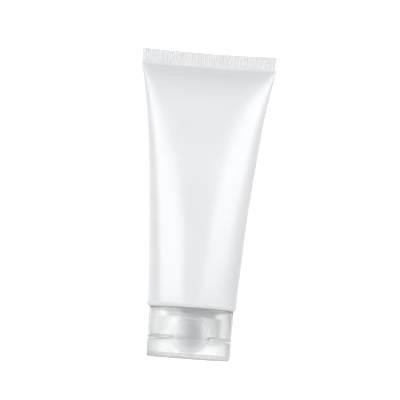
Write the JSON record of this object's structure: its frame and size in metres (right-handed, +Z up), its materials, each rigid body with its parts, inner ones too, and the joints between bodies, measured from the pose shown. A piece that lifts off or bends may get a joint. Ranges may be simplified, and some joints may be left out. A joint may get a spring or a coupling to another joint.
{
  "type": "squeeze tube",
  "caption": "Soft plastic squeeze tube, round at the shoulder and crimped flat at the end, standing on a clear flip-top screw cap; holds and dispenses lotion or gel.",
  "frame": {"origin": "centre of the lid's flat face, on which the tube stands", "axes": "+Z up the tube's axis to the crimp, +X along the crimp, -Y to the side with the thumb scoop"},
  "size_m": [0.0546, 0.035, 0.122],
  "materials": {
    "white_sleeve": "satin polyethylene",
    "natural_head": "moulded natural polyethylene",
    "washer": "foamed polyethylene",
    "clear_cap": "clear polypropylene"
  },
  "bodies": {
    "tube": {"tube_sleeve": "white_sleeve", "tube_head": "natural_head"},
    "washer": {"seal_washer": "washer"},
    "cap": {"cap_base": "clear_cap", "living_hinge": "clear_cap"},
    "lid": {"cap_lid": "clear_cap"}
  },
  "joints": [
    {"name": "cap_lift", "type": "slide", "parent": "tube", "child": "washer", "axis": [0, 0, -1], "range_m": [0, 0.00751]},
    {"name": "cap_turn", "type": "hinge", "parent": "washer", "child": "cap", "pos_m": [0, 0, 0.0125], "axis": [0, 0, -1], "range_deg": [0, 900]},
    {"name": "lid_flip", "type": "hinge", "parent": "cap", "child": "lid", "pos_m": [0, 0.01678, 0.00732], "axis": [1, 0, 0], "range_deg": [0, 160], "deforming": ["living_hinge"]}
  ],
  "couplings": [
    {"joint": "cap_lift", "follows": "cap_turn", "m_per_rad": 0.00047746}
  ]
}
